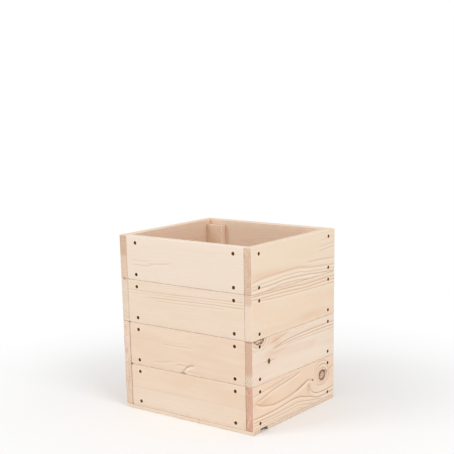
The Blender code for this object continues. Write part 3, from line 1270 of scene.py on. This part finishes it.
# painted shade on the edges either side of the floor's slot
slotShade = {"floor_slat_front": {"shadeAbove": 0.75}, "floor_board_1": {"shadeBelow": 0.75}}


def grainFor(name, seed, width, **changes):
    own = boardGrain.get(name) or {**randomGrain(seed, width), **sawnEnds.get(name, {})}
    return {**plainGrain, **own, **changes}


print("materials ready")


# the pieces

# for the pieces that boardGrain doesn't describe
firstSeeds = {"front": 20, "right": 30, "back": 40, "left": 50, "battens": 91, "floor": 90}
turnSeed = 5  # how the screws' recesses are turned
floorBoards = sorted(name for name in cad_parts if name.startswith("floor_board"))
floorNames = ["floor_slat_front"] + floorBoards
floorBoxes = {name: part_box(name) for name in floorNames}
nailPlaces = nailSpots(floorBoxes)
screwSteel = screwSteelMaterial()
screwShape = addScrewShape(wallScrew)
nailShape = addNailShape(floorNail)
turns = random.Random(turnSeed)


def screwNode(wall, number, where):
    name = f"{wall}_screw_{number}_{where}"
    return [name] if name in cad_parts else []


def boardBox(wall, number):  # the lowest boards' nodes reach below them, with the floor's nails
    low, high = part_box(f"{wall}_board_{number}")
    aboveLow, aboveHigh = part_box(f"{wall}_board_2")
    return Vector((low.x, low.y, high.z - (aboveHigh.z - aboveLow.z))), Vector(high)


def buildWall(wall):
    directions = wallDirections[wall]
    number = 1
    while f"{wall}_board_{number}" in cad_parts:
        node = f"{wall}_board_{number}"
        low, high = boardBox(wall, number)
        board = addPlank(f"{wall}_plank_{number}", low, high, directions)
        spots = screwSpots(low, high, directions)
        thickness = abs((high - low)[axisIndex(directions[2])])
        cutWith(board, addScrewHoles(spots.values(), directions, thickness + beyond))
        if number == 1:
            under = [
                place for place in nailPlaces
                if low.x < place.x < high.x and low.y < place.y < high.y
            ]
            cutWith(board, addNailHoles(under, floorNail["reach"] + beyond))
        smoothShade(board, plank["smoothAngle"])
        grain = grainFor(node, firstSeeds[wall] + number, (high - low).z / mm)
        if f"{wall}_board_{number + 1}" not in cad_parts:  # nothing lies on the topmost
            grain["dirtAndShadeAbove"] = 0.0
        material = pineMaterial(f"pine_{node}", low, high, directions, grain)
        finishPiece(board, material, [node])
        for where, place in spots.items():
            matrix = outwardMatrix(place, directions, turns.uniform(0, math.tau))
            screw = copyAt(screwShape, f"screw_{wall}_{number}_{where}", matrix)
            finishPiece(screw, screwSteel, screwNode(wall, number, where))
        number += 1
    print(wall, "wall:", number - 1, "boards")


def battenBox(side, end):  # from a front batten, because the back ones carry their screws
    low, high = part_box("corner_batten_front_right")
    low, high = low.copy(), high.copy()
    if side == "back":
        low.y, high.y = -high.y, -low.y
    if end == "left":
        low.x, high.x = -high.x, -low.x
    return low, high


def buildBatten(side, end, seed):
    node = f"corner_batten_{side}_{end}"
    directions = battenDirections[side]
    low, high = battenBox(side, end)
    batten = addPlank(f"corner_post_{side}_{end}", low, high, directions)
    smoothShade(batten, plank["smoothAngle"])
    grain = grainFor(node, seed, (high - low).x / mm, **unscrewed)
    material = pineMaterial(f"pine_{node}", low, high, directions, grain)
    finishPiece(batten, material, [node])


def buildFloor():
    for order, (node, (low, high)) in enumerate(floorBoxes.items()):
        name = node.replace("board", "plank").replace("slat", "strip")
        board = addPlank(name, low, high, floorDirections)
        inside = [place for place in nailPlaces if low.y < place.y < high.y]
        cutWith(board, addNailHoles(inside, floorNail["holeTop"]))
        smoothShade(board, plank["smoothAngle"])
        look = {**unscrewed, **floorTones, **slotShade.get(node, {})}
        grain = grainFor(node, firstSeeds["floor"] + order, (high - low).y / mm, **look)
        material = pineMaterial(f"pine_{node}", low, high, floorDirections, grain)
        finishPiece(board, material, [node])
    for order, place in enumerate(nailPlaces):
        nail = copyAt(nailShape, f"floor_nail_{order + 1}", Matrix.Translation(place))
        finishPiece(nail, screwSteel)
    print("floor:", len(floorBoxes), "pieces,", len(nailPlaces), "nails")


for wall in wallDirections:
    buildWall(wall)
corners = [(side, end) for side in ("front", "back") for end in ("left", "right")]
for order, (side, end) in enumerate(corners):
    buildBatten(side, end, firstSeeds["battens"] + order)
buildFloor()
bpy.data.objects.remove(screwShape)
bpy.data.objects.remove(nailShape)


# floor, light and camera

studio = {
    "floorSize": 30.0,
    "floorColour": (0.94, 0.94, 0.94, 1.0),
    "floorRoughness": 0.9,
    "sky": 0.70,
    "keySize": 1.6,
    "keyPower": 31.0,
    "keyPlace": (-1.6, -2.6, 2.6),
    "fillPower": 34.5,
    "fillPlace": (2.6, -0.8, 2.5),
    "aim": (0, 0, 0.18),
    "whiteFrom": 0.2,  # metres from the middle at which the floor starts to turn white
    "whiteTo": 0.9,
}


def whiteToCamera(tree, shader, share=1.0):  # whiter where the camera, a mirror or glass sees it
    path = tree.make("ShaderNodeLightPath", {}, {}, "Is Camera Ray")
    seen = path
    for name in ("Is Glossy Ray", "Is Transmission Ray"):
        seen = seen.atLeast(Wire(tree.tree, path.socket.node.outputs[name]))
    white = tree.make("ShaderNodeEmission", {}, {"Color": (1, 1, 1, 1), "Strength": 1.0})
    return tree.make("ShaderNodeMixShader", {}, {0: seen * share, 1: shader, 2: white})


def buildStudio():
    world = bpy.data.worlds.new("studio")
    bpy.context.scene.world = world
    world.use_nodes = True
    world.node_tree.nodes.clear()
    tree = Wire(world.node_tree)
    sky = tree.make("ShaderNodeBackground", {}, {"Color": (1, 1, 1, 1), "Strength": studio["sky"]})
    tree.make("ShaderNodeOutputWorld", {}, {"Surface": whiteToCamera(tree, sky)})

    deselectAll()
    bpy.ops.mesh.primitive_plane_add(size=studio["floorSize"], location=(0, 0, 0))
    floor = bpy.context.object
    floor.name = "studioFloor"
    material, tree = newMaterial("studioFloor")
    shader = tree.make("ShaderNodeBsdfPrincipled", {}, {
        "Base Color": studio["floorColour"], "Roughness": studio["floorRoughness"],
        "Specular IOR Level": 0.0})
    away = tree.make("ShaderNodeTexCoord", {}, {}, "Object").length()
    outputTo(tree, whiteToCamera(tree, shader, away.ramp(studio["whiteFrom"], studio["whiteTo"])))
    floor.data.materials.append(material)

    for name in ("key", "fill"):
        light = bpy.data.lights.new(name, "AREA")
        light.energy = studio[name + "Power"]
        light.size = studio["keySize"]
        lamp = bpy.data.objects.new(name, light)
        lamp.location = studio[name + "Place"]
        aim = Vector(studio["aim"]) - lamp.location
        lamp.rotation_euler = aim.to_track_quat("-Z", "Y").to_euler()
        bpy.context.scene.collection.objects.link(lamp)


photoView = {
    "place": (1.3175, -1.7292, 0.7122),
    "turn": (75.266, 1.044, 37.204),  # degrees
    "lens": 79.667,
    "sensor": 36,
    "shiftUp": 0.2532,
    "farthest": 100,
}


def buildCamera():
    camera = bpy.data.cameras.new("photoView")
    camera.sensor_width = photoView["sensor"]
    camera.lens = photoView["lens"]
    camera.shift_y = photoView["shiftUp"]
    camera.clip_end = photoView["farthest"]
    viewer = bpy.data.objects.new("photoView", camera)
    viewer.location = photoView["place"]
    viewer.rotation_euler = [math.radians(angle) for angle in photoView["turn"]]
    bpy.context.scene.collection.objects.link(viewer)
    bpy.context.scene.camera = viewer


buildStudio()
buildCamera()
bpy.context.scene.view_settings.view_transform = "Standard"
print("studio ready")
